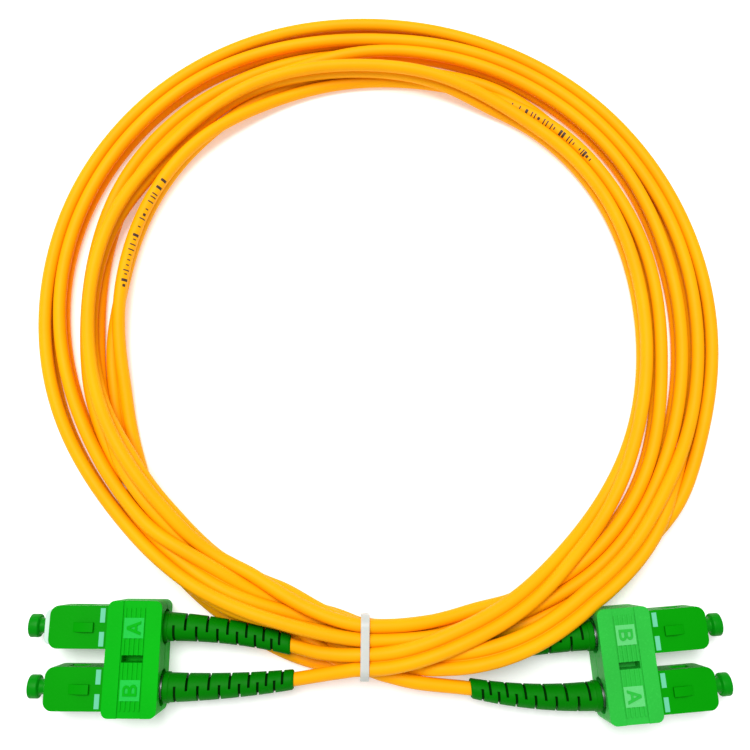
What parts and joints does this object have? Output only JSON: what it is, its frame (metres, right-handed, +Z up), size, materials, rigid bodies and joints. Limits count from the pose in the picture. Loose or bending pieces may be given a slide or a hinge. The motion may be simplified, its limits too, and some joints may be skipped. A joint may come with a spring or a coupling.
{
  "type": "duplex fiber optic patch cord",
  "caption": "Coiled twin fibre patch cord with a duplex push-pull plug at each end, slotted boots, joining clips, spring-loaded ferrules and pull-off dust caps.",
  "frame": {"origin": "on the surface the clips rest on, under the middle of the box round the two duplex plugs, without the cord", "axes": "+X from the left plug to the right plug, +Y from the plugs towards the coil, +Z up"},
  "size_m": [0.1624, 0.1715, 0.011],
  "materials": {
    "clip_green": "satin moulded",
    "grip_green": "satin moulded",
    "frame_pale": "satin moulded",
    "cap_green": "soft moulded",
    "boot_green": "matt elastomer",
    "jacket_yellow": "extruded LSZH",
    "tie_white": "soft strap",
    "zirconia": "polished",
    "steel": "plain",
    "brass": "nickel-free turned",
    "buffer_white": "tight buffer"
  },
  "bodies": {
    "cord_set": {"plug_frame_left_a": "frame_pale", "ferrule_spring_left_a": "steel", "stop_ring_left_a": "brass", "crimp_sleeve_left_a": "steel", "fibre_buffer_left_a": "buffer_white", "boot_left_a": "boot_green", "cord_end_left_a": "jacket_yellow", "plug_frame_left_b": "frame_pale", "ferrule_spring_left_b": "steel", "stop_ring_left_b": "brass", "crimp_sleeve_left_b": "steel", "fibre_buffer_left_b": "buffer_white", "boot_left_b": "boot_green", "cord_end_left_b": "jacket_yellow", "plug_frame_right_a": "frame_pale", "ferrule_spring_right_a": "steel", "stop_ring_right_a": "brass", "crimp_sleeve_right_a": "steel", "fibre_buffer_right_a": "buffer_white", "boot_right_a": "boot_green", "cord_end_right_a": "jacket_yellow", "plug_frame_right_b": "frame_pale", "ferrule_spring_right_b": "steel", "stop_ring_right_b": "brass", "crimp_sleeve_right_b": "steel", "fibre_buffer_right_b": "buffer_white", "boot_right_b": "boot_green", "cord_end_right_b": "jacket_yellow", "cord_coil": "jacket_yellow", "cable_tie": "tie_white"},
    "grips_left": {"grip_left_a": "grip_green", "grip_left_b": "grip_green", "clip_upper_left": "clip_green", "clip_lower_left": "clip_green"},
    "grips_right": {"grip_right_a": "grip_green", "grip_right_b": "grip_green", "clip_upper_right": "clip_green", "clip_lower_right": "clip_green"},
    "ferrule_left_a": {"ferrule_left_a": "zirconia", "ferrule_flange_left_a": "steel"},
    "cap_left_a": {"dust_cap_left_a": "cap_green"},
    "ferrule_left_b": {"ferrule_left_b": "zirconia", "ferrule_flange_left_b": "steel"},
    "cap_left_b": {"dust_cap_left_b": "cap_green"},
    "ferrule_right_a": {"ferrule_right_a": "zirconia", "ferrule_flange_right_a": "steel"},
    "cap_right_a": {"dust_cap_right_a": "cap_green"},
    "ferrule_right_b": {"ferrule_right_b": "zirconia", "ferrule_flange_right_b": "steel"},
    "cap_right_b": {"dust_cap_right_b": "cap_green"}
  },
  "joints": [
    {"name": "grips_left_release", "type": "slide", "parent": "cord_set", "child": "grips_left", "axis": [1, 0, 0], "range_m": [0, 0.0016]},
    {"name": "grips_right_release", "type": "slide", "parent": "cord_set", "child": "grips_right", "axis": [-0.996, -0.0899, 0], "range_m": [0, 0.0016]},
    {"name": "ferrule_left_a_float", "type": "slide", "parent": "cord_set", "child": "ferrule_left_a", "axis": [1, 0, 0], "range_m": [0, 0.0012], "stiffness_N_per_m": 3000, "springref_m": -0.0015, "deforming": ["ferrule_spring_left_a"]},
    {"name": "ferrule_left_b_float", "type": "slide", "parent": "cord_set", "child": "ferrule_left_b", "axis": [1, 0, 0], "range_m": [0, 0.0012], "stiffness_N_per_m": 3000, "springref_m": -0.0015, "deforming": ["ferrule_spring_left_b"]},
    {"name": "ferrule_right_a_float", "type": "slide", "parent": "cord_set", "child": "ferrule_right_a", "axis": [-0.996, -0.0899, 0], "range_m": [0, 0.0012], "stiffness_N_per_m": 3000, "springref_m": -0.0015, "deforming": ["ferrule_spring_right_a"]},
    {"name": "ferrule_right_b_float", "type": "slide", "parent": "cord_set", "child": "ferrule_right_b", "axis": [-0.996, -0.0899, 0], "range_m": [0, 0.0012], "stiffness_N_per_m": 3000, "springref_m": -0.0015, "deforming": ["ferrule_spring_right_b"]},
    {"name": "cap_left_a_pull", "type": "slide", "parent": "ferrule_left_a", "child": "cap_left_a", "axis": [-1, 0, 0], "range_m": [0, 0.012]},
    {"name": "cap_left_b_pull", "type": "slide", "parent": "ferrule_left_b", "child": "cap_left_b", "axis": [-1, 0, 0], "range_m": [0, 0.012]},
    {"name": "cap_right_a_pull", "type": "slide", "parent": "ferrule_right_a", "child": "cap_right_a", "axis": [0.996, 0.0899, 0], "range_m": [0, 0.012]},
    {"name": "cap_right_b_pull", "type": "slide", "parent": "ferrule_right_b", "child": "cap_right_b", "axis": [0.996, 0.0899, 0], "range_m": [0, 0.012]}
  ]
}
